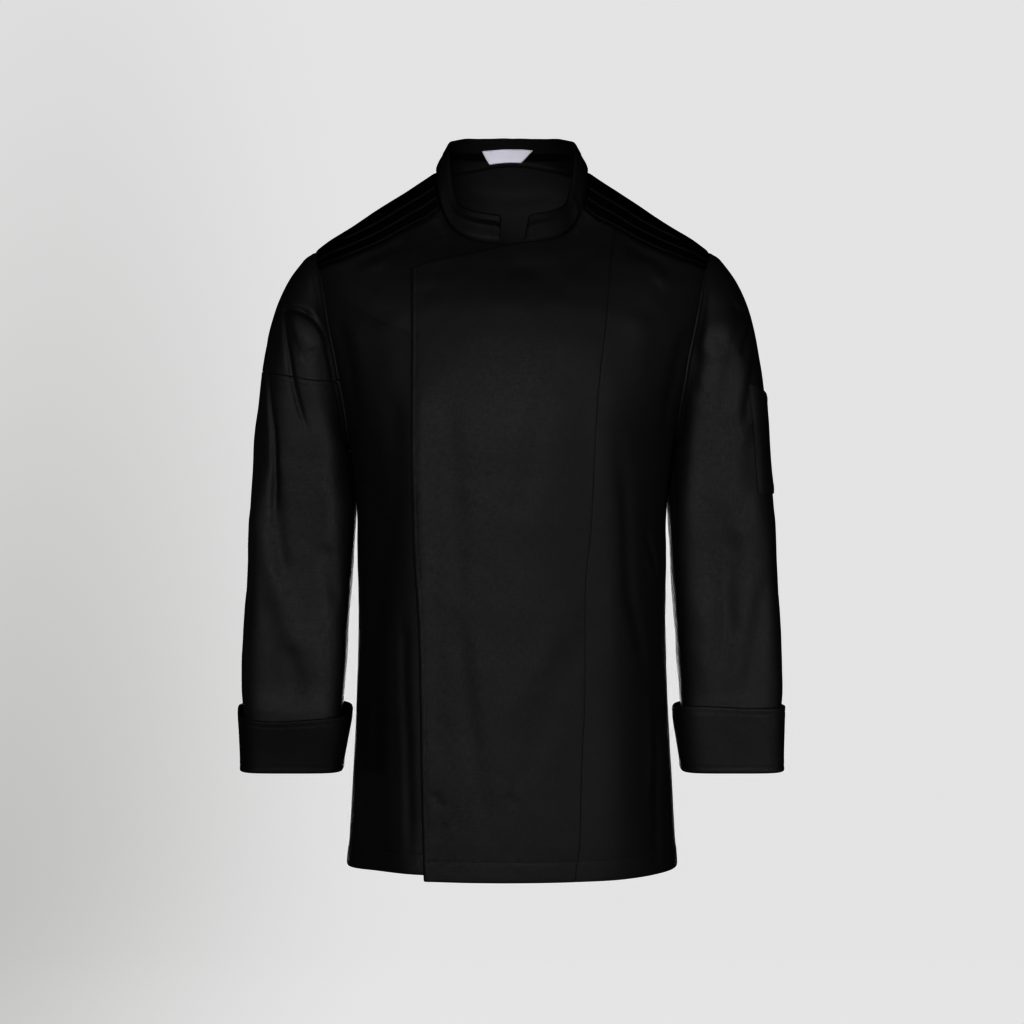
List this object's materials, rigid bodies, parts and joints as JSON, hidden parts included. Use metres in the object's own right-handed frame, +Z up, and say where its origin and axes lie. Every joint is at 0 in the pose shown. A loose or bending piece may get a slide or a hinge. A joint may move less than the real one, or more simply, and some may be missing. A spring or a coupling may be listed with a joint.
{
  "type": "chef jacket",
  "caption": "Black chef jacket, filled out as worn: stand collar, wide front overlap, piped shoulders and turned-back cuffs.",
  "frame": {"origin": "middle of the neck opening, at the height where the collar meets the shoulders", "axes": "+Z up, -Y out of the jacket's front, +X towards the wearer's left sleeve"},
  "size_m": [0.5826, 0.2792, 0.7678],
  "materials": {
    "black_cloth": "near-black cotton twill with a soft satin sheen",
    "black_tape": "flat black woven tape",
    "pale_label": "bare pale woven label"
  },
  "bodies": {
    "root": {"over_front": "black_cloth", "side_front_left": "black_cloth", "under_front": "black_cloth", "back_panel": "black_cloth", "shoulder_left": "black_cloth", "shoulder_right": "black_cloth", "piping_left_1": "black_cloth", "piping_left_2": "black_cloth", "piping_left_3": "black_cloth", "piping_right_1": "black_cloth", "piping_right_2": "black_cloth", "piping_right_3": "black_cloth", "collar": "black_cloth", "neck_tape": "black_tape", "neck_label": "pale_label", "sleeve_left": "black_cloth", "sleeve_right_upper": "black_cloth", "sleeve_right_lower": "black_cloth", "cuff_left": "black_cloth", "cuff_right": "black_cloth", "pen_pocket": "black_cloth"}
  },
  "joints": []
}
